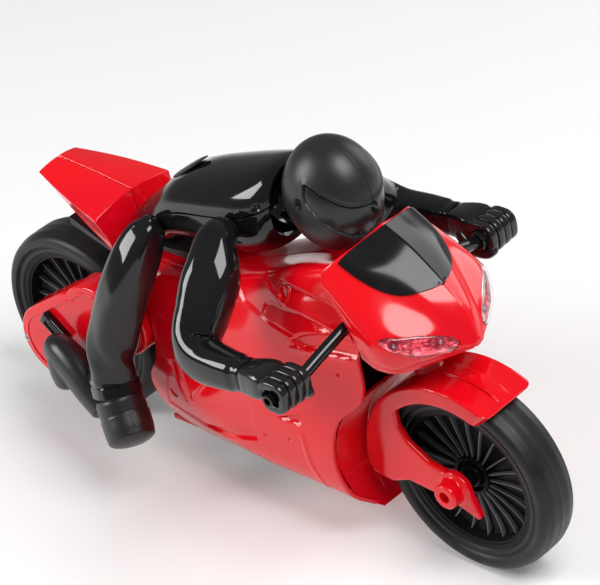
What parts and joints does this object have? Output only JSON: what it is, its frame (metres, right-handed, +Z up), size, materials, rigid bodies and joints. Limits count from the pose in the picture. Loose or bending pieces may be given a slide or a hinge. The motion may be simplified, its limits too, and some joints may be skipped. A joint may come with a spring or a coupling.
{
  "type": "radio controlled toy motorcycle with rider",
  "caption": "Radio controlled toy sport motorcycle with a crouching rider, geared rear wheel, steered front fork and full fairing.",
  "frame": {"origin": "on the ground, under the middle of the bike's outer box, in its plane of symmetry", "axes": "+X forward along the bike, +Y to the bike's left, +Z up"},
  "size_m": [0.293, 0.142, 0.1744],
  "materials": {
    "red_plastic": "glossy injection moulded red ABS",
    "black_gloss": "glossy moulded black ABS",
    "black_matte": "fine textured matte black plastic",
    "rim_black": "satin moulded black nylon",
    "tyre_rubber": "soft dark grey slick rubber",
    "lens_clear": "clear moulded lens",
    "lamp_red": "faceted red and silver reflector",
    "led_white": "cast epoxy lamp",
    "gear_nylon": "natural white nylon",
    "steel": "bright steel",
    "brass": "turned brass",
    "board_green": "green circuit laminate",
    "battery_wrap": "blue shrink wrap"
  },
  "bodies": {
    "bike": {"fairing_right": "red_plastic", "fairing_left": "red_plastic", "belly_pan": "red_plastic", "wheel_arch": "red_plastic", "nose_cowl": "red_plastic", "windscreen": "black_gloss", "headlight_lens_right": "lens_clear", "headlight_lens_left": "lens_clear", "headlight_reflector_right": "lamp_red", "headlight_reflector_left": "lamp_red", "headlight_leds": "led_white", "tail_cowl_right": "red_plastic", "tail_cowl_left": "red_plastic", "seat_base": "black_matte", "chassis_frame": "black_matte", "battery_pack": "battery_wrap", "battery_door": "black_matte", "circuit_board": "board_green", "drive_motor": "steel", "gear_shafts": "steel", "gearbox_plate": "red_plastic", "gearbox_cover": "red_plastic", "swingarm_left": "red_plastic", "steering_motor": "steel", "handlebar_right": "black_gloss", "handlebar_left": "black_gloss", "torso_back": "black_gloss", "torso_front": "black_gloss", "back_cap": "black_matte", "helmet_right": "black_matte", "helmet_left": "black_matte", "visor": "black_matte", "neck": "black_gloss", "arm_right": "black_gloss", "arm_left": "black_gloss", "hand_right": "black_matte", "hand_left": "black_matte", "thigh_right": "black_gloss", "thigh_left": "black_gloss", "knee_right": "black_matte", "knee_left": "black_matte", "shin_right": "black_matte", "shin_left": "black_matte", "foot_pegs": "black_gloss", "cover_screws": "steel"},
    "rear_wheel": {"rear_tyre": "tyre_rubber", "rear_rim": "rim_black", "rear_axle": "steel", "wheel_gear": "gear_nylon"},
    "second_gear_body": {"second_gear": "gear_nylon"},
    "first_gear_body": {"first_gear": "gear_nylon"},
    "motor_rotor": {"motor_pinion": "brass"},
    "fork": {"front_fork": "red_plastic", "steering_stem": "steel", "steering_sector": "gear_nylon", "front_axle": "steel"},
    "steering_rotor": {"steering_pinion": "brass"},
    "front_wheel": {"front_rim": "rim_black", "front_tyre": "tyre_rubber"},
    "switch_knob": {"power_switch": "black_gloss"}
  },
  "joints": [
    {"name": "rear_wheel_spin", "type": "hinge", "parent": "bike", "child": "rear_wheel", "pos_m": [-0.1045, 0, 0.042], "axis": [0, 1, 0], "continuous": true},
    {"name": "second_gear_spin", "type": "hinge", "parent": "bike", "child": "second_gear_body", "pos_m": [-0.08928, 0, 0.05234], "axis": [0, 1, 0], "continuous": true},
    {"name": "first_gear_spin", "type": "hinge", "parent": "bike", "child": "first_gear_body", "pos_m": [-0.07406, 0, 0.06268], "axis": [0, 1, 0], "continuous": true},
    {"name": "motor_spin", "type": "hinge", "parent": "bike", "child": "motor_rotor", "pos_m": [-0.057, 0, 0.067], "axis": [0, 1, 0], "continuous": true},
    {"name": "steering", "type": "hinge", "parent": "bike", "child": "fork", "pos_m": [0.1055, 0, 0.041], "axis": [-0.4067, 0, 0.9135], "range_deg": [-20, 20]},
    {"name": "steering_motor_spin", "type": "hinge", "parent": "bike", "child": "steering_rotor", "pos_m": [0.08357, 0, 0.03124], "axis": [-0.4067, 0, 0.9135], "range_deg": [-66, 66]},
    {"name": "front_wheel_spin", "type": "hinge", "parent": "fork", "child": "front_wheel", "pos_m": [0.1055, 0, 0.041], "axis": [0, 1, 0], "continuous": true},
    {"name": "power_switch_slide", "type": "slide", "parent": "bike", "child": "switch_knob", "axis": [1, 0, 0], "range_m": [0, 0.004]}
  ],
  "couplings": [
    {"joint": "second_gear_spin", "follows": "rear_wheel_spin", "ratio": -2.2857},
    {"joint": "first_gear_spin", "follows": "rear_wheel_spin", "ratio": 5.2245},
    {"joint": "motor_spin", "follows": "rear_wheel_spin", "ratio": -17.763},
    {"joint": "steering_motor_spin", "follows": "steering", "ratio": -3}
  ]
}
